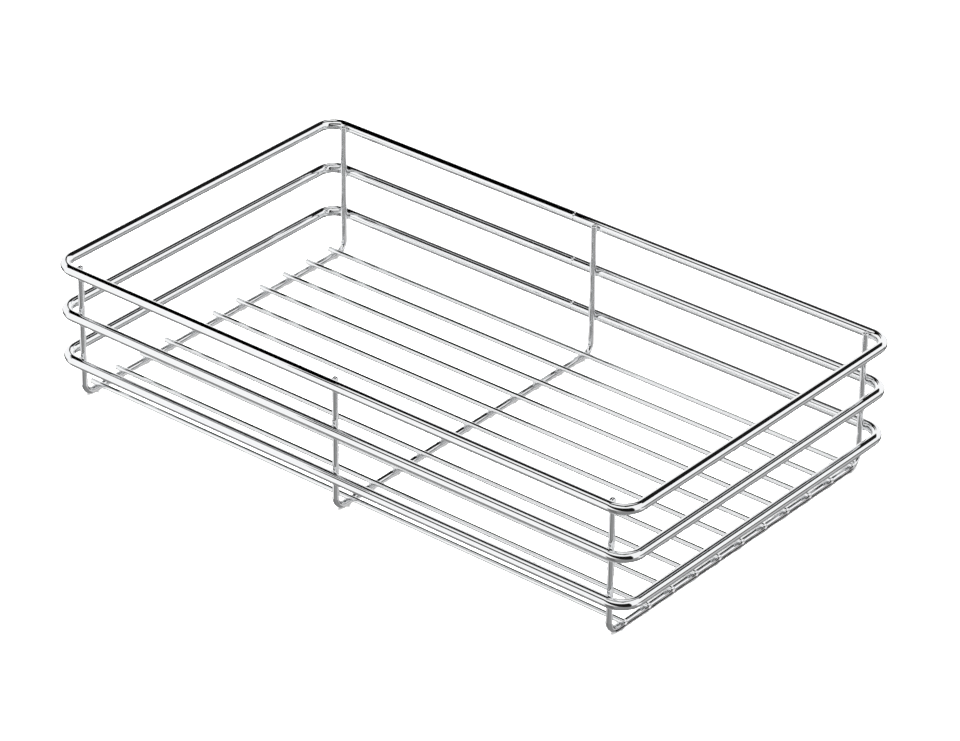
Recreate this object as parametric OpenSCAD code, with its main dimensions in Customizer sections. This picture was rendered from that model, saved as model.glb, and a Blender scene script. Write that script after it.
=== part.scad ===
// Welded wire basket that pulls out of a kitchen cabinet.
//
// Three closed rim rings of thick wire stand one above the other. Three U-shaped
// cross frames hold them from the inside and pass under the floor, and a row of thin
// floor wires lies lengthwise on the frames' sleepers. Every crossing is a resistance
// weld: the two wires are pressed into each other by weld_set, and the thinner wire
// carries the saddle that the thicker one left in it.
//
// Millimetres, +Z up, +X along the basket. The origin is under the middle of the
// basket, in the plane that it stands on.

/* [Basket] */
// Length over the outside of the rim rings
basket_length = 500; // [400:1:600]
// Width over the outside of the rim rings
basket_width = 292; // [240:1:450]
// Height of the bottom ring's centre above the plane that the basket stands on
bottom_ring_height = 29.5; // [20:0.5:45]
// Height from the centre of one ring to the centre of the next
ring_pitch = 35.5; // [20:0.5:60]

/* [Rim rings] */
// Thickness of the ring wire
ring_wire = 7.8; // [5:0.1:9]
// Radius of a ring's corners, at the centre of the wire
ring_corner_radius = 14; // [11:0.5:40]
// Distance of a ring's butt weld from the middle of the long side
butt_weld_offset = 21; // [12:1:90]
// Height of the butt weld's bead above the wire's surface
butt_weld_height = 0.25; // [0.15:0.05:0.5]
// Width of the butt weld's bead along the wire
butt_weld_width = 2.2; // [1.5:0.1:4]

/* [Cross frames] */
// Thickness of the cross frame wire
cross_wire = 4.6; // [3.5:0.1:6.5]
// Gap along a ring between an end frame's upright and the start of the ring's corner
upright_to_corner = 0; // [0:0.5:60]
// Radius of a cross frame's two bends, at the centre of the wire
cross_bend_radius = 8; // [6:0.5:14]
// Height of an upright's end above the centre of the top ring
upright_rise = 3; // [0:0.1:8]
// Height of the dome that each upright's end is ground to
upright_dome = 1; // [0.5:0.1:1.6]

/* [Floor] */
// Thickness of the floor wires
floor_wire = 4; // [2.5:0.1:5]
// Gap along a sleeper between an outermost floor wire and the start of the bend
floor_to_bend = 1.4; // [0.5:0.1:12]
// Length of a floor wire that stands out past the centre of an end frame
floor_overhang = 5; // [4:0.5:8]
// Width of the chamfer round a floor wire's ends
floor_chamfer = 0.6; // [0.3:0.1:1]

/* [Welds] */
// Depth that two crossing wires are pressed into each other
weld_set = 0.5; // [0.2:0.05:0.8]

/* [Hidden] */
RING_NODES = ["rim_ring_bottom", "rim_ring_middle", "rim_ring_top"];
FRAME_NODES = ["cross_frame_left", "cross_frame_centre", "cross_frame_right"];
FLOOR_NODES = [
    "floor_wire_01", "floor_wire_02", "floor_wire_03", "floor_wire_04", "floor_wire_05",
    "floor_wire_06", "floor_wire_07", "floor_wire_08", "floor_wire_09", "floor_wire_10",
    "floor_wire_11"
];

$fn = 48;

// Chrome plating on each gauge of wire
RING_COLOUR = "gainsboro";
FRAME_COLOUR = "lightgray";
FLOOR_COLOUR = "silver";

// A cutter reaches this far past what it cuts
CUT_MARGIN = 1;

// Rim rings, centre line of the wire
ring_half_length = (basket_length - ring_wire) / 2;
ring_half_width = (basket_width - ring_wire) / 2;
ring_heights = [for (i = [0 : len(RING_NODES) - 1]) bottom_ring_height + i * ring_pitch];
top_ring_height = ring_heights[len(RING_NODES) - 1];

// Cross frames: the sleepers stand on the origin's plane, the uprights press
// against the rings from the inside
sleeper_height = cross_wire / 2;
upright_offset = ring_half_width - (ring_wire + cross_wire) / 2 + weld_set;
upright_top = top_ring_height + upright_rise;
sleeper_half_length = upright_offset - cross_bend_radius;
cross_frame_pitch = ring_half_length - ring_corner_radius - upright_to_corner - cross_wire / 2;
frame_positions = [for (i = [0 : len(FRAME_NODES) - 1]) (i - 1) * cross_frame_pitch];

// The sphere that cuts an upright's end to a dome of the given height
dome_radius = (pow(cross_wire / 2, 2) + pow(upright_dome, 2)) / (2 * upright_dome);

// Floor wires, pressed into the sleepers from above
floor_height = sleeper_height + (cross_wire + floor_wire) / 2 - weld_set;
floor_length = 2 * (cross_frame_pitch + floor_overhang);
floor_half_span = sleeper_half_length - floor_to_bend - floor_wire / 2;
floor_pitch = 2 * floor_half_span / (len(FLOOR_NODES) - 1);

// The bead's outline is an arc over the wire, buried as deep as it stands out
bead_reach = 2 * butt_weld_height;
bead_radius = (pow(butt_weld_width / 2, 2) + pow(bead_reach, 2)) / (2 * bead_reach);

// Straight wire of the given thickness, centred, along X
module wire_along_x(thickness, length) {
    rotate([0, 90, 0]) cylinder(d = thickness, h = length, center = true);
}

// Straight wire of the given thickness, centred, along Y
module wire_along_y(thickness, length) {
    rotate([90, 0, 0]) cylinder(d = thickness, h = length, center = true);
}

// Quarter bend of the given centre line radius, from +X round to +Y
module quarter_bend(thickness, bend_radius) {
    rotate_extrude(angle = 90) translate([bend_radius, 0]) circle(d = thickness);
}

// Centre lines of the three rings, run through every cross frame as its cutters
module ring_saddles() {
    for (height = ring_heights, side = [-1, 1])
        translate([0, side * ring_half_width, height])
            wire_along_x(ring_wire, cross_wire + 2 * CUT_MARGIN);
}

// Bead where the ends of a ring's wire are butt-welded together
module butt_weld() {
    rotate([0, 90, 0])
        rotate_extrude()
            intersection() {
                translate([ring_wire / 2 + butt_weld_height - bead_radius, 0]) circle(r = bead_radius);
                translate([ring_wire / 2 - butt_weld_height, -butt_weld_width / 2])
                    square([bead_reach, butt_weld_width]);
            }
}

// One closed ring: four straights, four corners and the butt weld on the far long side
module rim_ring(height) {
    straight_x = 2 * (ring_half_length - ring_corner_radius);
    straight_y = 2 * (ring_half_width - ring_corner_radius);
    color(RING_COLOUR) translate([0, 0, height]) {
        for (side = [-1, 1]) {
            translate([0, side * ring_half_width, 0]) wire_along_x(ring_wire, straight_x);
            translate([side * ring_half_length, 0, 0]) wire_along_y(ring_wire, straight_y);
        }
        for (turn = [0 : 3]) {
            along = turn % 2 == 0 ? straight_x / 2 : straight_y / 2;
            across = turn % 2 == 0 ? straight_y / 2 : straight_x / 2;
            rotate([0, 0, 90 * turn]) translate([along, across, 0])
                quarter_bend(ring_wire, ring_corner_radius);
        }
        translate([-butt_weld_offset, ring_half_width, 0]) butt_weld();
    }
}

// One upright, from the bend up to its domed end
module upright() {
    foot = sleeper_height + cross_bend_radius;
    shoulder = upright_top - upright_dome;
    translate([0, 0, foot]) cylinder(d = cross_wire, h = shoulder - foot);
    intersection() {
        translate([0, 0, shoulder]) cylinder(d = cross_wire, h = upright_dome);
        translate([0, 0, upright_top - dome_radius]) sphere(r = dome_radius);
    }
}

// One U-shaped cross frame: a sleeper, two bends and two uprights, saddled at the rings
module cross_frame(position) {
    color(FRAME_COLOUR) translate([position, 0, 0]) difference() {
        union() {
            translate([0, 0, sleeper_height]) wire_along_y(cross_wire, 2 * sleeper_half_length);
            for (turn = [0, 180]) rotate([0, 0, turn]) {
                translate([0, sleeper_half_length, sleeper_height + cross_bend_radius])
                    rotate([0, 90, 0]) quarter_bend(cross_wire, cross_bend_radius);
                translate([0, upright_offset, 0]) upright();
            }
        }
        ring_saddles();
    }
}

// One floor wire: straight, chamfered at both ends, saddled where it crosses the sleepers
module floor_rod(offset) {
    shank = floor_length - 2 * floor_chamfer;
    color(FLOOR_COLOUR) difference() {
        translate([0, offset, floor_height]) {
            wire_along_x(floor_wire, shank);
            for (turn = [0, 180]) rotate([0, 90, turn]) translate([0, 0, shank / 2])
                cylinder(d1 = floor_wire, d2 = floor_wire - 2 * floor_chamfer, h = floor_chamfer);
        }
        for (position = frame_positions)
            translate([position, offset, sleeper_height])
                wire_along_y(cross_wire, floor_wire + 2 * CUT_MARGIN);
    }
}

for (i = [0 : len(RING_NODES) - 1])
    rim_ring(ring_heights[i]);
for (i = [0 : len(FRAME_NODES) - 1])
    cross_frame(frame_positions[i]);
for (i = [0 : len(FLOOR_NODES) - 1])
    floor_rod(i * floor_pitch - floor_half_span);
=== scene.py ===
"""Looks of a chrome wire basket that pulls out of a kitchen cabinet.

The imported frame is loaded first. Every length of wire is then built again as a fine
swept mesh, exactly where its solid is, with the fillets that resistance welding
leaves at the crossings, and the basket is set in a plain white studio.
"""

import math

import bmesh
import bpy
import numpy as np
from mathutils import Matrix, Vector


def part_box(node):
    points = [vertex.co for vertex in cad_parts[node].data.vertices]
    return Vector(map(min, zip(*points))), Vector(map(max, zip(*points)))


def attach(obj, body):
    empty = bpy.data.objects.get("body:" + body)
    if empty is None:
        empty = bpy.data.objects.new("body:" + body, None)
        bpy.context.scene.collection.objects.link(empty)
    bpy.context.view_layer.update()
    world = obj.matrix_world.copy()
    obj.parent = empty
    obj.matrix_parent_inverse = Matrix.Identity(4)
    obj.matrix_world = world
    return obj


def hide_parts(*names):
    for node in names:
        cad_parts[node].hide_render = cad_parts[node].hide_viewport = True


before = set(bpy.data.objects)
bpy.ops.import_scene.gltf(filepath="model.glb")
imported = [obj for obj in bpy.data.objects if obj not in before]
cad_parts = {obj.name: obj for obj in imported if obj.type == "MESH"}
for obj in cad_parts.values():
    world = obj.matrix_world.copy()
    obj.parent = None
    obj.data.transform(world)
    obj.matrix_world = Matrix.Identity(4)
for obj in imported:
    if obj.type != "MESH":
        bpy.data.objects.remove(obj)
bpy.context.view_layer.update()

bl_info = {
    "name": "Pull Out Cabinet Basket",
    "version": (1, 0, 0),
    "blender": (4, 5, 0),
    "location": "3D View > Sidebar > Basket",
    "description": "Builds a welded chrome wire basket and a white studio around its frame",
    "category": "Add Mesh",
}

BODY = "root"

RINGS = ("rim_ring_bottom", "rim_ring_middle", "rim_ring_top")
CROSS_FRAMES = ("cross_frame_left", "cross_frame_centre", "cross_frame_right")
FLOOR_WIRES = tuple("floor_wire_%02d" % number for number in range(1, 12))

X_AXIS = np.array((1.0, 0.0, 0.0))
Y_AXIS = np.array((0.0, 1.0, 0.0))
Z_AXIS = np.array((0.0, 0.0, 1.0))

# Mesh of the wires: lengths in metres, and counts of steps and of sides round a wire
LONG_SPAN = 0.004
GUARD = 0.0003
CORNER_STEPS = 36
SEAM_STEPS = 24
BEND_STEPS = 28
DOME_STEPS = 10
RING_SIDES = 72
FRAME_SIDES = 56
FLOOR_SIDES = 48

# Where a rounded edge's middle points lie, as shares of the edge's size
EDGE_MIDDLE = 0.3
EDGE_SIDE = 0.4
SHOULDER_SIDE = 0.2

# Welds: steps that find a fillet, how far it runs into the other wire as a share of that
# wire's radius, and how far duller plating reaches round it, in fillet sizes
FILLET_STEPS = 60
FILLET_DEPTH = 0.35
WELD_SPREAD = 1.5

# Plating: scale and detail of its noises, and how much each of them and the welds change it
CLOUD = (70.0, 3.0)
WAVE = (22.0, 1.0)
PEEL_DETAIL = 2.0
RING_GRAIN = 900.0
FRAME_GRAIN = 1100.0
FLOOR_GRAIN = 1300.0
WORN_COLOUR = 0.3
CLOUD_COLOUR = 0.16
CLOUD_ROUGHNESS = 0.03
WORN_ROUGHNESS = 0.015
PEEL_HEIGHT = 0.012

# Colour sockets of a Mix node, by place because several of them share a name
MIX_FIRST = 6
MIX_SECOND = 7
MIX_RESULT = 2


def rectangle(low_x, high_x, low_y, high_y):
    """Corners of a flat rectangle."""
    return ((low_x, low_y), (high_x, low_y), (high_x, high_y), (low_x, high_y))


# Cards that only reflections see: corners in plan, and depths of the two at the floor
DARK_CARD = (
    (-1.08, 1.25), (-1.2, 1.42), (-1.6, 1.42), (-1.5, 1.1), (-1.28, 0.58),
    (-1.19, 0.22), (-1.19, -0.48), (-0.64, -0.48), (-0.6, -0.15), (-0.53, 0.3),
)
WHITE_CARD = (
    (-0.42, -0.33), (-0.8, -0.33), (-1.3, -1.4),
    (-0.82, -1.4), (-0.82, -1.18), (-0.42, -0.43),
)
LOW_CARD = rectangle(-0.45, 0.1, -0.316, 0.01)
FLOOR_CARD = rectangle(-0.245, 0.26, -0.13, 0.13)
# A dark strip under the right sleeper, which the sleeper mirrors as a painted dark outline
FLOOR_STRIP = rectangle(0.2285, 0.2352, -0.13, 0.13)
FLOOR_DEPTH = -0.0002
STRIP_DEPTH = -0.0001

# The tent is drawn by direction, as x, y and z of a unit vector that points away from the
# basket. An edge is the value at which an opening or a shade begins, and its softness.
# Openings in the ceiling are laid out in plan, in a plane one metre up
CEILING_EDGE = (0.05, 0.01)
LEAST_HEIGHT = 0.02
CEILING_GAPS = {
    "middle": (-0.55, 0.1, -0.25, 0.15),
    "right": (-0.1, 0.3, -0.2, 0.85),
}
LEFT_GAP_START = (-0.46, 0.02)
LEFT_GAP_END = (-1.1, 0.05)
LEFT_GAP_SIDES = (-0.04, 1.2)
BACK_GAPS = {
    "long": ((0.62, 0.02), -1.08),
    "short": ((0.56, 0.02), -0.75),
}
BACK_GAP_RIGHT = 0.63
BACK_GAP_END = (1.33, 0.05)

# Opening on the camera's side, above a sill that slopes along x
DOOR_SLOPE = -0.6
DOOR_SILL = 0.173
DOOR_SILL_SOFT = 0.03
DOOR_TOP = (0.72, 0.02)
DOOR_SIDE = (-0.15, 0.05)

# Shaded walls below the horizon, and gaps there that the rings' corners mirror. An aim is a
# level direction, and its edge says how closely a direction points along it. Only the first
# reflection, whose rays have a depth under FIRST_DEPTH, shows them. UNIT is a little over 1,
# so that the level part of a direction is never 0
FIRST_DEPTH = 2.5
UNIT = 1.0001
LOW_EDGE = (-0.15, 0.05)
NEAR_EDGE = (0.4, 0.1)
LEFT_AIM = (-0.776, -0.631)
LEFT_EDGE = (0.3, 0.3)
FAR_AIM = (-0.5, 0.866)
FAR_EDGE = (0.17, 0.08)
UNDER_EDGE = (-0.545, 0.025)
CORNER_GAPS = {
    "right": ((0.087, 0.996), (0.866, 0.04)),
    "left": ((-0.999, 0.04), (0.9, 0.04)),
}
CORNER_BAND = (-0.475, -0.15, 0.02)
STRIP_BAND = (-0.25, 0.05, 0.03)
STRIP_AIM = (0.776, 0.631)
STRIP_EDGE = (0.93, 0.03)

# Floor: cells along a side, scale of the change in its tone, and its darker tone as a share
FLOOR_CELLS = 12
FLOOR_NOISE = 3.0
FLOOR_TONE = 0.985
FLOOR_ROUGHNESS = 0.9

# Light over the floor, in metres
LIGHT_SIZE = 3.2
LIGHT_HEIGHT = 2.8

# Camera: sensor in millimetres and farthest view in metres
SENSOR_WIDTH = 36.0
FARTHEST_VIEW = 100.0

WHITE = (1.0, 1.0, 1.0, 1.0)


def length(label, note, default):
    """A property for one length in metres."""
    return bpy.props.FloatProperty(
        name=label, description=note, default=default, min=0.0, unit="LENGTH", precision=5
    )


def share(label, note, default):
    """A property for a value from 0 to 1."""
    return bpy.props.FloatProperty(
        name=label, description=note, default=default, min=0.0, max=1.0, subtype="FACTOR"
    )


def number(label, note, default):
    """A property for a plain number."""
    return bpy.props.FloatProperty(name=label, description=note, default=default)


def angle(label, note, degrees):
    """A property for an angle, given in degrees."""
    return bpy.props.FloatProperty(
        name=label, description=note, default=math.radians(degrees), subtype="ANGLE"
    )


def colour(label, note, default):
    """A property for a colour."""
    return bpy.props.FloatVectorProperty(
        name=label, description=note, default=default, size=3, min=0.0, max=1.0,
        subtype="COLOR",
    )


class BasketWireSettings(bpy.types.PropertyGroup):
    """Sizes of the wires that their solids' boxes don't give."""

    ring_corner: length("Ring corner", "Radius of a ring's corners at the wire's centre", 0.014)
    seam_offset: length("Seam offset", "Distance of a ring's butt weld from the middle", 0.021)
    seam_height: length("Seam height", "Height of the butt weld above the wire", 0.00012)
    seam_solid: length("Seam solid", "Height of the solid's butt weld above the wire", 0.00025)
    seam_width: length("Seam width", "Width of the butt weld along the wire", 0.0022)
    frame_bend: length("Frame bend", "Radius of a cross frame's bends at the centre", 0.008)
    dome: length("Dome", "Height that an upright's end is ground to a dome", 0.001)
    chamfer: length("Chamfer", "Width of the chamfer round a floor wire's ends", 0.0006)
    edge: length("Edge", "Rounding of the edges at the wires' ends", 0.00012)
    rail_fillet: length("Rail fillet", "Size of the welds between uprights and rings", 0.0014)
    floor_fillet: length("Floor fillet", "Size of the welds between floor and sleepers", 0.0012)
    weld_step: length("Weld step", "Spacing of the mesh along a wire at a weld", 0.0003)


class BasketPlatingSettings(bpy.types.PropertyGroup):
    """Colours and finish of the chrome plating."""

    bright: colour("Bright", "Colour of well polished plating", (0.745, 0.752, 0.760))
    dull: colour("Dull", "Colour of thin plating beside the welds", (0.56, 0.57, 0.58))
    ring_roughness: share("Ring roughness", "Roughness of the rings' plating", 0.02)
    frame_roughness: share("Frame roughness", "Roughness of the cross frames' plating", 0.025)
    floor_roughness: share("Floor roughness", "Roughness of the floor wires' plating", 0.025)
    relief: length("Relief", "Depth of the plating's unevenness", 0.0001)


class BasketStudioSettings(bpy.types.PropertyGroup):
    """Camera, floor, white tent, cards and light."""

    azimuth: angle("Azimuth", "Angle of the camera round the basket", 39.122)
    elevation: angle("Elevation", "Angle of the camera above the floor", 30.274)
    roll: angle("Roll", "Turn of the camera about its own axis", 0.717)
    distance: length("Distance", "Distance of the camera from the basket's origin", 3.07229)
    aside: number("Aside", "Sideways offset of the view, in metres", -0.00884)
    above: number("Above", "Upward offset of the view, in metres", -0.040956)
    lens: number("Lens", "Focal length in millimetres on a 36 mm wide sensor", 168.467)
    floor_size: length("Floor size", "Length of the floor's sides", 9.0)
    floor: colour("Floor", "Colour of the floor", (0.90, 0.90, 0.895))
    floor_reach: length("Floor reach", "Distance over which chrome mirrors the floor", 0.012)
    # Painted shade on the floor card, which only the wires mirror: grey by the sleepers and a
    # dark shadow line in front of each floor wire
    floor_shade: share("Floor shade", "Share of the light that the sleepers mirror below", 0.58)
    line_shade: share("Line shade", "Share of the light in the lines by the floor wires", 0.0)
    line_width: length("Line width", "Width of the lines by the floor wires", 0.009)
    line_offset: length("Line offset", "Distance of the lines in front of the wires", 0.008)
    sleeper_reach: length("Sleeper reach", "Gap from a sleeper's centre to a line's end", 0.008)
    floor_light: number("Floor light", "Power of the light over the floor, in watts", 700.0)
    wall: number("Wall", "Brightness of the white walls", 1.25)
    black: share("Black", "Share of the light that is left in the openings", 0.01)
    near_shade: share("Near shade", "Share of the light left low on the camera's side", 0.29)
    side_shade: share("Side shade", "Share of the light that is left low on the left", 0.16)
    under_shade: share("Under shade", "Share of the light that is left straight below", 0.25)
    far_shade: share("Far shade", "Share of the light that is left low on the far side", 0.5)
    corner_shade: share("Corner shade", "Share of the light that the corners mirror", 0.1)
    strip: share("Strip", "Share of the light that is left where the floor ends", 0.12)
    seam_soft: number("Seam soft", "Softness of the openings' edges", 0.02)
    card_height: length("Card height", "Height of the dark card over the basket", 1.0)
    white_height: length("White height", "Height of the white card over the basket", 0.6)
    low_height: length("Low height", "Height of the low white card over the basket", 0.2)
    low_reach: length("Low reach", "Distance beyond which chrome mirrors the low card", 0.29)
    front: bpy.props.FloatVectorProperty(
        name="Front", description="Level direction that the shaded walls face", size=2,
        default=(0.631, -0.776),
    )


def panel_properties(layout, settings):
    """Lists every property of a settings group in a layout."""
    for name in settings.__annotations__:
        layout.prop(settings, name)


# Wires


def tube(stations, sides, closed=False, swell=None):
    """Mesh data of a wire: rings of points round each station.

    A station holds its centre, two unit vectors across the wire, and the wire's radius
    there. swell(points, outward) gives how far each point moves outward, and how near
    to a weld it lies. Returns vertices, faces and that nearness, from 0 to 1.
    """
    turn = np.linspace(0.0, 2.0 * math.pi, sides, endpoint=False)
    centre = np.array([s[0] for s in stations])[:, None, :]
    across = np.array([s[1] for s in stations])[:, None, :]
    aside = np.array([s[2] for s in stations])[:, None, :]
    radius = np.array([s[3] for s in stations])[:, None, None]
    outward = across * np.cos(turn)[None, :, None] + aside * np.sin(turn)[None, :, None]
    points = (centre + outward * radius).reshape(-1, 3)
    outward = outward.reshape(-1, 3)
    weld = np.zeros(len(points))
    if swell is not None:
        grown, weld = swell(points, outward)
        points = points + outward * grown[:, None]
    count = len(stations)
    faces = []
    for i in range(count if closed else count - 1):
        a, b = i * sides, (i + 1) % count * sides
        for j in range(sides):
            k = (j + 1) % sides
            faces.append((a + j, a + k, b + k, b + j))
    if not closed:
        points = np.vstack((points, stations[0][0], stations[-1][0]))
        weld = np.append(weld, (0.0, 0.0))
        first, last = len(points) - 2, len(points) - 1
        end = (count - 1) * sides
        for j in range(sides):
            k = (j + 1) % sides
            faces.append((first, k, j))
            faces.append((last, end + j, end + k))
    return points, faces, weld


def with_guards(stations, closed=False):
    """Adds stations just inside long straight spans, so that the smooth shading of a
    bend or a weld ends there and doesn't reach along the span."""
    guarded = []
    for i, (centre, across, aside, radius) in enumerate(stations):
        guarded.append((centre, across, aside, radius))
        if i + 1 == len(stations) and not closed:
            break
        after, _, _, next_radius = stations[(i + 1) % len(stations)]
        span = np.linalg.norm(after - centre)
        if span < LONG_SPAN:
            continue
        for part in (GUARD / span, 1.0 - GUARD / span):
            place = centre + (after - centre) * part
            guarded.append((place, across, aside, radius + (next_radius - radius) * part))
    return guarded


def weld_fillet(points, outward, bar_point, bar_axis, bar_radius, fillet):
    """How far points on one wire move outward to lie on the fillet of a weld.

    The fillet is the smooth union of the wire with the bar that it is welded to, and
    ends a little way inside the bar. Also returns how near to the weld the points are.
    """
    depth, reach = FILLET_DEPTH * bar_radius, fillet + bar_radius

    def bar_distance(where):
        away = where - bar_point
        away = away - np.outer(away @ bar_axis, bar_axis)
        return np.linalg.norm(away, axis=1) - bar_radius

    near = bar_distance(points)
    grown = np.zeros(len(points))
    moving = near < fillet
    for step in range(1, FILLET_STEPS + 1):
        trial = reach * step / FILLET_STEPS
        apart = bar_distance(points + outward * trial)
        blend = np.clip(1.0 - np.abs(apart - trial) / fillet, 0.0, 1.0)
        level = np.minimum(apart, trial) - blend * blend * fillet / 4.0
        moving = moving & (level < 0.0) & (apart > -depth)
        grown[moving] = trial
    closeness = np.clip(1.0 - near / (WELD_SPREAD * fillet), 0.0, 1.0)
    return grown, closeness


def swell_at_bars(bars, fillet):
    """A swell function that adds the fillets at several bars."""

    def swell(points, outward):
        grown, weld = np.zeros(len(points)), np.zeros(len(points))
        for point, axis, radius in bars:
            more, near = weld_fillet(points, outward, point, axis, radius, fillet)
            grown, weld = np.maximum(grown, more), np.maximum(weld, near)
        return grown, weld

    return swell


def add_wire(name, data, material):
    """Makes a wire's mesh object, which stands for the solid of the same place."""
    points, faces, weld = data
    mesh = bpy.data.meshes.new(name)
    mesh.from_pydata([tuple(p) for p in points], [], faces)
    shell = bmesh.new()
    shell.from_mesh(mesh)
    bmesh.ops.recalc_face_normals(shell, faces=shell.faces)
    shell.to_mesh(mesh)
    shell.free()
    mesh.attributes.new("weld", "FLOAT", "POINT").data.foreach_set(
        "value", weld.astype(np.float32)
    )
    mesh.shade_smooth()
    mesh.materials.append(material)
    piece = bpy.data.objects.new(name, mesh)
    bpy.context.collection.objects.link(piece)
    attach(piece, BODY)
    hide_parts(name.replace("chrome_", ""))


def ring_measures(settings, node):
    """Wire radius, height, half length and half width of a ring, at the wire's centre."""
    low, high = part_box(node)
    radius = (high.z - low.z) / 2 - settings.seam_solid
    return radius, (high.z + low.z) / 2, high.x - radius, -low.y - radius


def ring_stations(settings, node):
    """Stations round one closed ring."""
    radius, height, half_length, half_width = ring_measures(settings, node)
    corner = settings.ring_corner
    straight_x, straight_y = half_length - corner, half_width - corner
    stations = []
    signs = ((1, 1), (-1, 1), (-1, -1), (1, -1))
    for quarter, (side_x, side_y) in enumerate(signs):
        middle = np.array((side_x * straight_x, side_y * straight_y, height))
        for step in range(CORNER_STEPS + 1):
            turn = math.pi / 2 * (quarter + step / CORNER_STEPS)
            across = np.array((math.cos(turn), math.sin(turn), 0.0))
            stations.append((middle + across * corner, across, Z_AXIS, radius))
        if quarter == 0:
            for step in range(SEAM_STEPS + 1):
                part = step / SEAM_STEPS - 0.5
                x = -settings.seam_offset - part * settings.seam_width
                bead = settings.seam_height * math.cos(math.pi * part) ** 2
                centre = np.array((x, half_width, height))
                stations.append((centre, Y_AXIS, Z_AXIS, radius + bead))
    return stations


def weld_stops(places, reach, step):
    """Positions along a wire, close together round each place."""
    stops = []
    for place in places:
        count = int(round(2 * reach / step))
        stops.extend(place - reach + 2 * reach * i / count for i in range(count + 1))
    return stops


def frame_stations(settings, node, ring_heights, ring_radius):
    """Stations along one U-shaped cross frame, from its front end to its back end."""
    low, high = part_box(node)
    radius = (high.x - low.x) / 2
    x, offset, top = (low.x + high.x) / 2, high.y - radius, high.z
    bend, dome, edge = settings.frame_bend, settings.dome, settings.edge
    foot, shoulder = radius + bend, top - dome
    ball = (radius**2 + dome**2) / (2 * dome)
    steep = math.asin(radius / ball)
    side = []
    for step in range(1, DOME_STEPS + 1):
        lean = steep * step / DOME_STEPS
        side.append((top - ball + ball * math.cos(lean), ball * math.sin(lean)))
    side[-1] = (shoulder + edge, side[-1][1] - edge)
    side.append((shoulder, radius - SHOULDER_SIDE * edge))
    side.append((shoulder - edge, radius))
    reach, limit = ring_radius + settings.rail_fillet, shoulder - 2 * edge
    stops = weld_stops(ring_heights, reach, settings.weld_step)
    side.extend((z, radius) for z in sorted(stops, reverse=True) if z < limit)
    stations = []
    for z, thick in side:
        stations.append((np.array((x, -offset, z)), -Y_AXIS, X_AXIS, thick))
    for quarter, side_y in enumerate((-1, 1)):
        centre = np.array((x, side_y * (offset - bend), foot))
        for step in range(BEND_STEPS + 1):
            turn = math.pi / 2 * (quarter + step / BEND_STEPS)
            across = np.array((0.0, -math.cos(turn), -math.sin(turn)))
            stations.append((centre + across * bend, across, X_AXIS, radius))
    for z, thick in reversed(side):
        stations.append((np.array((x, offset, z)), Y_AXIS, X_AXIS, thick))
    return stations


def floor_stations(settings, node, frame_places, frame_radius):
    """Stations along one straight floor wire."""
    low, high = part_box(node)
    radius = (high.z - low.z) / 2
    y, z = (low.y + high.y) / 2, (low.z + high.z) / 2
    chamfer, edge = settings.chamfer, settings.edge
    ends = (
        (high.x, radius - chamfer - 2 * edge),
        (high.x, radius - chamfer - edge),
        (high.x - EDGE_MIDDLE * edge, radius - chamfer - EDGE_MIDDLE * edge),
        (high.x - edge, radius - chamfer),
        (high.x - chamfer, radius - edge),
        (high.x - chamfer - EDGE_SIDE * edge, radius - EDGE_MIDDLE * edge),
        (high.x - chamfer - edge, radius),
    )
    reach, limit = frame_radius + settings.floor_fillet, high.x - chamfer - 2 * edge
    stops = weld_stops(frame_places, reach, settings.weld_step)
    profile = [(-x, thick) for x, thick in ends]
    profile += [(x, radius) for x in sorted(stops) if abs(x) < limit]
    profile += reversed(ends)
    return [(np.array((x, y, z)), Z_AXIS, Y_AXIS, thick) for x, thick in profile]


# Materials


class Graph:
    """Builds nodes in a tree; every value is a number, a colour or a socket."""

    def __init__(self, tree):
        self.tree = tree

    def feed(self, socket, value):
        """Gives an input its value or its link."""
        if isinstance(value, bpy.types.NodeSocket):
            self.tree.links.new(value, socket)
        else:
            socket.default_value = value

    def math(self, operation, *values):
        """A maths node's result."""
        node = self.tree.nodes.new("ShaderNodeMath")
        node.operation = operation
        for socket, value in zip(node.inputs, values):
            self.feed(socket, value)
        return node.outputs["Value"]

    def mix(self, amount, first, second):
        """A mix of two colours."""
        node = self.tree.nodes.new("ShaderNodeMix")
        node.data_type = "RGBA"
        self.feed(node.inputs["Factor"], amount)
        self.feed(node.inputs[MIX_FIRST], first)
        self.feed(node.inputs[MIX_SECOND], second)
        return node.outputs[MIX_RESULT]

    def coordinates(self, kind):
        """The x, y and z of one kind of texture coordinate."""
        place = self.tree.nodes.new("ShaderNodeTexCoord")
        split = self.tree.nodes.new("ShaderNodeSeparateXYZ")
        self.feed(split.inputs["Vector"], place.outputs[kind])
        return tuple(split.outputs)

    def rise(self, value, edge, soft):
        """0 below an edge and 1 above it, with a soft change between."""
        node = self.tree.nodes.new("ShaderNodeMapRange")
        node.interpolation_type = "SMOOTHSTEP"
        self.feed(node.inputs["Value"], value)
        node.inputs["From Min"].default_value = edge - soft
        node.inputs["From Max"].default_value = edge + soft
        return node.outputs["Result"]

    def fall(self, value, edge, soft):
        """1 below an edge and 0 above it, with a soft change between."""
        return self.rise(self.math("MULTIPLY", value, -1.0), -edge, soft)

    def band(self, value, low, high, soft):
        """1 between two edges and 0 outside them."""
        above_low, above_high = self.rise(value, low, soft), self.rise(value, high, soft)
        return self.math("SUBTRACT", above_low, above_high)

    def both(self, *masks):
        """1 where every mask is 1."""
        result = masks[0]
        for mask in masks[1:]:
            result = self.math("MULTIPLY", result, mask)
        return result

    def dim(self, light, mask, level):
        """Light that is no brighter than a level inside a mask."""
        limit = self.math("MULTIPLY_ADD", mask, level - 1.0, 1.0)
        return self.math("MINIMUM", light, limit)

    def toward(self, x, y, aim):
        """How far a direction's level part points along an aim, from -1 to 1."""
        part_x, part_y = self.math("MULTIPLY", x, aim[0]), self.math("MULTIPLY", y, aim[1])
        return self.math("ADD", part_x, part_y)


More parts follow.
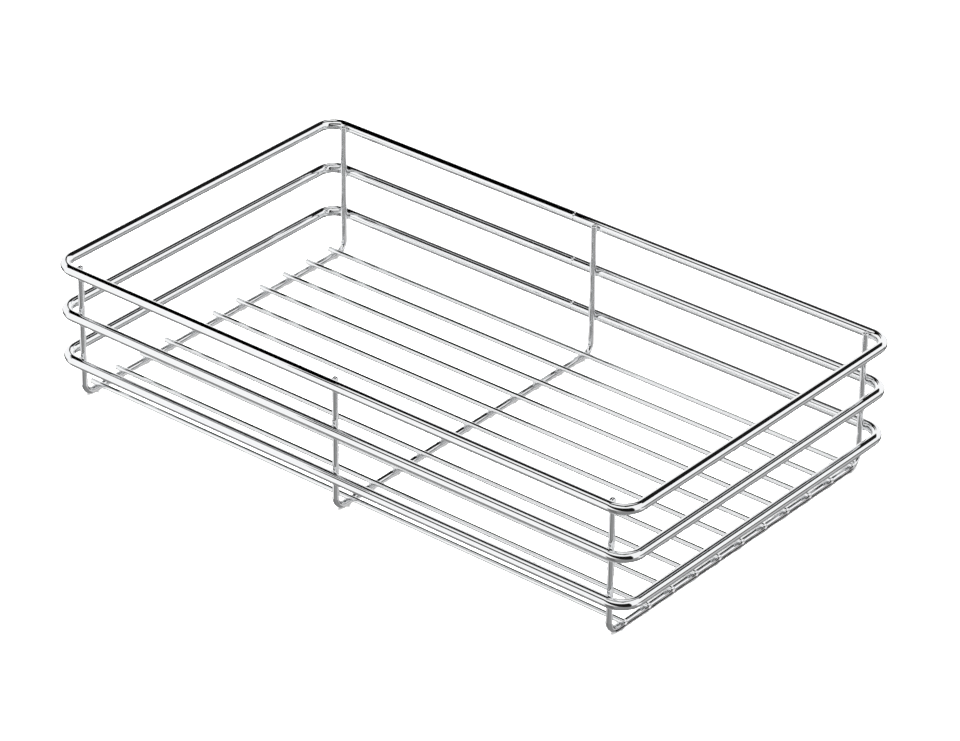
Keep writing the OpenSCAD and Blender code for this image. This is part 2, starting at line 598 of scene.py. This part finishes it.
def plating_group():
    """Node group of bright plating on drawn wire: colour, roughness and height."""
    tree = bpy.data.node_groups.new("bright_plating", "ShaderNodeTree")
    sockets = (
        ("Bright", "NodeSocketColor", "INPUT", (0.8, 0.8, 0.8, 1.0)),
        ("Dull", "NodeSocketColor", "INPUT", (0.6, 0.6, 0.6, 1.0)),
        ("Polish", "NodeSocketFloat", "INPUT", 0.05),
        ("Grain", "NodeSocketFloat", "INPUT", RING_GRAIN),
        ("Color", "NodeSocketColor", "OUTPUT", None),
        ("Roughness", "NodeSocketFloat", "OUTPUT", None),
        ("Height", "NodeSocketFloat", "OUTPUT", None),
    )
    for name, kind, way, value in sockets:
        socket = tree.interface.new_socket(name=name, in_out=way, socket_type=kind)
        if value is not None:
            socket.default_value = value
    graph = Graph(tree)
    source = tree.nodes.new("NodeGroupInput").outputs
    result = tree.nodes.new("NodeGroupOutput").inputs
    place = tree.nodes.new("ShaderNodeTexCoord")
    attribute = tree.nodes.new("ShaderNodeAttribute")
    attribute.attribute_name = "weld"
    weld = attribute.outputs["Fac"]

    def noise(scale, detail):
        node = tree.nodes.new("ShaderNodeTexNoise")
        graph.feed(node.inputs["Scale"], scale)
        node.inputs["Detail"].default_value = detail
        graph.feed(node.inputs["Vector"], place.outputs["Object"])
        return node.outputs["Fac"]

    cloud, wave, peel = noise(*CLOUD), noise(*WAVE), noise(source["Grain"], PEEL_DETAIL)

    worn = graph.math("MULTIPLY", weld, WORN_COLOUR)
    patch = graph.math("MULTIPLY", cloud, CLOUD_COLOUR)
    amount = graph.math("ADD", worn, patch)
    graph.feed(result["Color"], graph.mix(amount, source["Bright"], source["Dull"]))

    haze = graph.math("MULTIPLY", cloud, CLOUD_ROUGHNESS)
    soot = graph.math("MULTIPLY", weld, WORN_ROUGHNESS)
    rough = graph.math("ADD", graph.math("ADD", haze, soot), source["Polish"])
    graph.feed(result["Roughness"], rough)

    fine = graph.math("MULTIPLY", peel, PEEL_HEIGHT)
    graph.feed(result["Height"], graph.math("ADD", wave, fine))
    return tree


def chrome(name, settings, roughness, grain):
    """Chrome plating on one gauge of wire."""
    material = bpy.data.materials.new(name)
    material.use_nodes = True
    tree = material.node_tree
    graph = Graph(tree)
    shader = tree.nodes["Principled BSDF"]
    plating = tree.nodes.new("ShaderNodeGroup")
    plating.node_tree = bpy.data.node_groups.get("bright_plating") or plating_group()
    plating.inputs["Bright"].default_value = (*settings.bright, 1.0)
    plating.inputs["Dull"].default_value = (*settings.dull, 1.0)
    plating.inputs["Polish"].default_value = roughness
    plating.inputs["Grain"].default_value = grain
    bump = tree.nodes.new("ShaderNodeBump")
    bump.inputs["Strength"].default_value = 1.0
    bump.inputs["Distance"].default_value = settings.relief
    graph.feed(bump.inputs["Height"], plating.outputs["Height"])
    graph.feed(shader.inputs["Normal"], bump.outputs["Normal"])
    graph.feed(shader.inputs["Base Color"], plating.outputs["Color"])
    graph.feed(shader.inputs["Roughness"], plating.outputs["Roughness"])
    shader.inputs["Metallic"].default_value = 1.0
    return material


# Studio


def painted_floor_shade(settings):
    """Painted shade for the floor card, seen only in the wires' reflections: a dark painted
    shadow line in front of each floor wire, ended at the sleepers, and grey painted shade by
    the sleepers.
    """
    first, second = (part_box(node) for node in FLOOR_WIRES[:2])
    wire_half_pitch = (second[0].y - first[0].y) / 2
    left, centre = (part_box(node) for node in CROSS_FRAMES[:2])
    frame_half_pitch = (centre[0].x - left[0].x) / 2

    def paint(graph):
        x, y, _ = graph.coordinates("Object")
        from_frame = graph.math("PINGPONG", x, frame_half_pitch)
        near_frame = graph.math("LESS_THAN", from_frame, settings.sleeper_reach)
        # Painted shadow line: a dark stripe a little in front of each floor wire, which the
        # wire mirrors under its body
        aside = graph.math("ADD", y, settings.line_offset)
        from_line = graph.math("PINGPONG", aside, wire_half_pitch)
        line = graph.math("LESS_THAN", from_line, settings.line_width / 2)
        light = graph.dim(1.0, line, settings.line_shade)
        # Grey painted shade near each sleeper, which the sleepers mirror on their undersides
        change = graph.math("SUBTRACT", settings.floor_shade, light)
        return graph.math("MULTIPLY_ADD", near_frame, change, light)

    return paint


def emitter(name, strength, reach=None, beyond=False, paint=None):
    """A white light material.

    With a reach it is seen only from nearer than that, or only from beyond it. paint
    builds the share of the strength that each place gives.
    """
    material = bpy.data.materials.new(name)
    material.use_nodes = True
    tree = material.node_tree
    tree.nodes.clear()
    graph = Graph(tree)
    glow = tree.nodes.new("ShaderNodeEmission")
    if paint is not None:
        strength = graph.math("MULTIPLY", paint(graph), strength)
    graph.feed(glow.inputs["Strength"], strength)
    surface = glow.outputs["Emission"]
    if reach is not None:
        path = tree.nodes.new("ShaderNodeLightPath")
        clear = tree.nodes.new("ShaderNodeBsdfTransparent")
        choice = tree.nodes.new("ShaderNodeMixShader")
        test = "GREATER_THAN" if beyond else "LESS_THAN"
        seen = graph.math(test, path.outputs["Ray Length"], reach)
        for socket, value in zip(choice.inputs, (seen, clear.outputs["BSDF"], surface)):
            graph.feed(socket, value)
        surface = choice.outputs["Shader"]
    out = tree.nodes.new("ShaderNodeOutputMaterial")
    graph.feed(out.inputs["Surface"], surface)
    return material


def add_card(name, outline, height, strength, reach=None, beyond=False, paint=None):
    """One flat card over or under the basket, seen only in reflections."""
    corners = [(x, y, height) for x, y in outline]
    mesh = bpy.data.meshes.new(name)
    mesh.from_pydata(corners, [], [tuple(range(len(corners)))])
    mesh.materials.append(emitter(name, strength, reach, beyond, paint))
    card = bpy.data.objects.new(name, mesh)
    bpy.context.collection.objects.link(card)
    card.visible_camera = card.visible_shadow = card.visible_diffuse = False


def add_floor(settings):
    """The pale floor."""
    mesh = bpy.data.meshes.new("floor")
    sheet = bmesh.new()
    bmesh.ops.create_grid(
        sheet, x_segments=FLOOR_CELLS, y_segments=FLOOR_CELLS, size=settings.floor_size / 2
    )
    sheet.to_mesh(mesh)
    sheet.free()
    material = bpy.data.materials.new("floor_paper")
    material.use_nodes = True
    tree = material.node_tree
    graph = Graph(tree)
    shader = tree.nodes["Principled BSDF"]
    noise = tree.nodes.new("ShaderNodeTexNoise")
    noise.inputs["Scale"].default_value = FLOOR_NOISE
    shade = (*(FLOOR_TONE * part for part in settings.floor), 1.0)
    tone = graph.mix(noise.outputs["Fac"], (*settings.floor, 1.0), shade)
    graph.feed(shader.inputs["Base Color"], tone)
    shader.inputs["Roughness"].default_value = FLOOR_ROUGHNESS
    shader.inputs["Specular IOR Level"].default_value = 0.0
    mesh.materials.append(material)
    floor = bpy.data.objects.new("floor", mesh)
    bpy.context.collection.objects.link(floor)
    floor.visible_glossy = False


def cut_ceiling(graph, direction, light, settings):
    """Light of the tent with dark openings in its ceiling."""
    x, y, z = direction
    over = graph.rise(z, *CEILING_EDGE)
    height = graph.math("MAXIMUM", z, LEAST_HEIGHT)
    plan_x, plan_y = graph.math("DIVIDE", x, height), graph.math("DIVIDE", y, height)

    def between(value, low, high):
        return graph.band(value, low, high, settings.seam_soft)

    for low_x, high_x, low_y, high_y in CEILING_GAPS.values():
        gap = graph.both(over, between(plan_x, low_x, high_x), between(plan_y, low_y, high_y))
        light = graph.dim(light, gap, settings.black)
    gap = graph.both(
        over, graph.fall(x, *LEFT_GAP_START),
        between(plan_y, *LEFT_GAP_SIDES), graph.rise(plan_x, *LEFT_GAP_END),
    )
    light = graph.dim(light, gap, settings.black)
    for start, low_x in BACK_GAPS.values():
        gap = graph.both(
            over, graph.rise(y, *start),
            between(plan_x, low_x, BACK_GAP_RIGHT), graph.fall(plan_y, *BACK_GAP_END),
        )
        light = graph.dim(light, gap, settings.black)
    return light


def cut_door(graph, direction, light, settings):
    """Light of the tent with the dark opening that the camera looks in through."""
    x, y, z = direction
    sill = graph.math("MULTIPLY_ADD", x, DOOR_SLOPE, DOOR_SILL)
    door = graph.both(
        graph.rise(graph.math("SUBTRACT", z, sill), 0.0, DOOR_SILL_SOFT),
        graph.fall(z, *DOOR_TOP),
        graph.fall(y, *DOOR_SIDE),
    )
    return graph.dim(light, door, settings.black)


def shade_walls(graph, direction, first, light, settings):
    """Light of the tent with shaded walls and dark gaps below the horizon.

    first is a mask: 1 for the rays that show them and 0 for all others.
    """
    x, y, z = direction
    square = graph.math("POWER", z, 2.0)
    level = graph.math("SQRT", graph.math("SUBTRACT", UNIT, square))

    def facing(aim, edge):
        return graph.rise(graph.math("DIVIDE", graph.toward(x, y, aim), level), *edge)

    low = graph.both(first, graph.fall(z, *LOW_EDGE))
    near = graph.both(low, facing(settings.front, NEAR_EDGE))
    light = graph.dim(light, near, settings.near_shade)
    side = graph.both(near, facing(LEFT_AIM, LEFT_EDGE))
    light = graph.dim(light, side, settings.side_shade)
    far = graph.both(low, facing(FAR_AIM, FAR_EDGE))
    light = graph.dim(light, far, settings.far_shade)
    under = graph.both(first, graph.fall(z, *UNDER_EDGE))
    light = graph.dim(light, under, settings.under_shade)
    for aim, edge in CORNER_GAPS.values():
        gap = graph.both(first, graph.band(z, *CORNER_BAND), facing(aim, edge))
        light = graph.dim(light, gap, settings.corner_shade)
    return light


def cut_strip(graph, direction, light, settings):
    """Light of the tent with the dark strip where the floor ends."""
    x, y, z = direction
    toward = graph.toward(x, y, STRIP_AIM)
    strip = graph.both(graph.band(z, *STRIP_BAND), graph.rise(toward, *STRIP_EDGE))
    return graph.dim(light, strip, settings.strip)


def add_world(settings):
    """A white tent with the dark openings that chrome mirrors as lines."""
    world = bpy.data.worlds.new("studio")
    world.use_nodes = True
    bpy.context.scene.world = world
    tree = world.node_tree
    graph = Graph(tree)
    direction = graph.coordinates("Generated")
    path = tree.nodes.new("ShaderNodeLightPath")
    first = graph.math("LESS_THAN", path.outputs["Ray Depth"], FIRST_DEPTH)

    light = cut_ceiling(graph, direction, 1.0, settings)
    light = cut_door(graph, direction, light, settings)
    light = shade_walls(graph, direction, first, light, settings)
    light = cut_strip(graph, direction, light, settings)

    # The camera itself sees plain white behind the floor
    light = graph.math("MAXIMUM", light, path.outputs["Is Camera Ray"])
    light = graph.math("MULTIPLY", light, settings.wall)
    background = tree.nodes["Background"]
    background.inputs["Color"].default_value = WHITE
    graph.feed(background.inputs["Strength"], light)


def add_floor_light(settings):
    """A wide soft light over the floor, which the chrome doesn't mirror."""
    data = bpy.data.lights.new("floor_light", "AREA")
    data.shape = "SQUARE"
    data.size = LIGHT_SIZE
    data.energy = settings.floor_light
    light = bpy.data.objects.new("floor_light", data)
    light.location = (0.0, 0.0, LIGHT_HEIGHT)
    light.visible_camera = False
    light.visible_glossy = False
    bpy.context.collection.objects.link(light)


def add_camera(settings):
    """The camera, turned and placed about the basket's origin."""
    turn, tilt, roll = settings.azimuth, settings.elevation, settings.roll
    reach = math.cos(tilt)
    back = Vector((math.sin(turn) * reach, -math.cos(turn) * reach, math.sin(tilt)))
    level = Vector((math.cos(turn), math.sin(turn), 0.0))
    upright = back.cross(level)
    right = level * math.cos(roll) + upright * math.sin(roll)
    up = upright * math.cos(roll) - level * math.sin(roll)
    place = back * settings.distance - right * settings.aside - up * settings.above
    data = bpy.data.cameras.new("camera")
    data.sensor_width = SENSOR_WIDTH
    data.lens = settings.lens
    data.clip_end = FARTHEST_VIEW
    camera = bpy.data.objects.new("camera", data)
    camera.matrix_world = Matrix(
        [[right[i], up[i], back[i], place[i]] for i in range(3)] + [[0.0, 0.0, 0.0, 1.0]]
    )
    bpy.context.collection.objects.link(camera)
    bpy.context.scene.camera = camera


# Operators


class BASKET_OT_rim_rings(bpy.types.Operator):
    """Build the three closed rim rings with their butt welds"""

    bl_idname = "basket.rim_rings"
    bl_label = "Rim Rings"

    def execute(self, context):
        settings, plating = context.scene.basket_wires, context.scene.basket_plating
        material = chrome("ring_chrome", plating, plating.ring_roughness, RING_GRAIN)
        for node in RINGS:
            stations = with_guards(ring_stations(settings, node), closed=True)
            data = tube(stations, RING_SIDES, closed=True)
            add_wire("chrome_" + node, data, material)
        return {"FINISHED"}


class BASKET_OT_cross_frames(bpy.types.Operator):
    """Build the three U-shaped cross frames, welded to the rings"""

    bl_idname = "basket.cross_frames"
    bl_label = "Cross Frames"

    def execute(self, context):
        settings, plating = context.scene.basket_wires, context.scene.basket_plating
        material = chrome("frame_chrome", plating, plating.frame_roughness, FRAME_GRAIN)
        rings = [ring_measures(settings, node) for node in RINGS]
        ring_radius, _, _, half_width = rings[0]
        heights = [height for _, height, _, _ in rings]
        bars = [
            (np.array((0.0, side * half_width, height)), X_AXIS, ring_radius)
            for height in heights
            for side in (-1, 1)
        ]
        swell = swell_at_bars(bars, settings.rail_fillet)
        for node in CROSS_FRAMES:
            stations = with_guards(frame_stations(settings, node, heights, ring_radius))
            data = tube(stations, FRAME_SIDES, swell=swell)
            add_wire("chrome_" + node, data, material)
        return {"FINISHED"}


class BASKET_OT_floor_wires(bpy.types.Operator):
    """Build the eleven floor wires, welded to the sleepers"""

    bl_idname = "basket.floor_wires"
    bl_label = "Floor Wires"

    def execute(self, context):
        settings, plating = context.scene.basket_wires, context.scene.basket_plating
        material = chrome("floor_chrome", plating, plating.floor_roughness, FLOOR_GRAIN)
        places, bars = [], []
        for node in CROSS_FRAMES:
            low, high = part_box(node)
            radius, x = (high.x - low.x) / 2, (low.x + high.x) / 2
            places.append(x)
            bars.append((np.array((x, 0.0, radius)), Y_AXIS, radius))
        frame_radius = bars[0][2]
        swell = swell_at_bars(bars, settings.floor_fillet)
        for node in FLOOR_WIRES:
            stations = with_guards(floor_stations(settings, node, places, frame_radius))
            data = tube(stations, FLOOR_SIDES, swell=swell)
            add_wire("chrome_" + node, data, material)
        return {"FINISHED"}


class BASKET_OT_studio(bpy.types.Operator):
    """Build the camera, the pale floor, the white tent, the cards and the soft light"""

    bl_idname = "basket.studio"
    bl_label = "Studio"

    def execute(self, context):
        settings = context.scene.basket_studio
        wall, near, far = settings.wall, settings.floor_reach, settings.low_reach
        add_camera(settings)
        add_floor(settings)
        add_world(settings)
        add_floor_light(settings)
        add_card("dark_card", DARK_CARD, settings.card_height, 0.0)
        add_card("white_card", WHITE_CARD, settings.white_height, wall)
        add_card("low_card", LOW_CARD, settings.low_height, wall, far, beyond=True)
        # The floor card glows white where the wires mirror the floor and carries painted shade
        # lines; the floor strip is a dark strip that the right sleeper mirrors as a painted
        # dark outline
        paint = painted_floor_shade(settings)
        add_card("floor_card", FLOOR_CARD, FLOOR_DEPTH, wall, near, paint=paint)
        add_card("floor_strip", FLOOR_STRIP, STRIP_DEPTH, wall * settings.black, near)
        context.scene.view_settings.view_transform = "Standard"
        return {"FINISHED"}


class BASKET_PT_panel(bpy.types.Panel):
    """Lists the basket's pieces and their settings"""

    bl_idname = "BASKET_PT_panel"
    bl_label = "Pull Out Basket"
    bl_space_type = "VIEW_3D"
    bl_region_type = "UI"
    bl_category = "Basket"

    def draw(self, context):
        scene, layout = context.scene, self.layout
        for operator in OPERATORS:
            layout.operator(operator.bl_idname)
        for name in SETTINGS:
            panel_properties(layout.box(), getattr(scene, name))


SETTINGS = {
    "basket_wires": BasketWireSettings,
    "basket_plating": BasketPlatingSettings,
    "basket_studio": BasketStudioSettings,
}
OPERATORS = (
    BASKET_OT_studio,
    BASKET_OT_rim_rings,
    BASKET_OT_cross_frames,
    BASKET_OT_floor_wires,
)


def register():
    """Registers the classes and adds the settings to the scene."""
    for name, settings in SETTINGS.items():
        bpy.utils.register_class(settings)
        setattr(bpy.types.Scene, name, bpy.props.PointerProperty(type=settings))
    for operator in OPERATORS:
        bpy.utils.register_class(operator)
    bpy.utils.register_class(BASKET_PT_panel)


def unregister():
    """Removes the settings and the classes again."""
    bpy.utils.unregister_class(BASKET_PT_panel)
    for operator in reversed(OPERATORS):
        bpy.utils.unregister_class(operator)
    for name, settings in reversed(SETTINGS.items()):
        delattr(bpy.types.Scene, name)
        bpy.utils.unregister_class(settings)


def main():
    """Builds the studio and every piece."""
    register()
    bpy.ops.basket.studio()
    bpy.ops.basket.rim_rings()
    bpy.ops.basket.cross_frames()
    bpy.ops.basket.floor_wires()


if __name__ == "__main__":
    main()
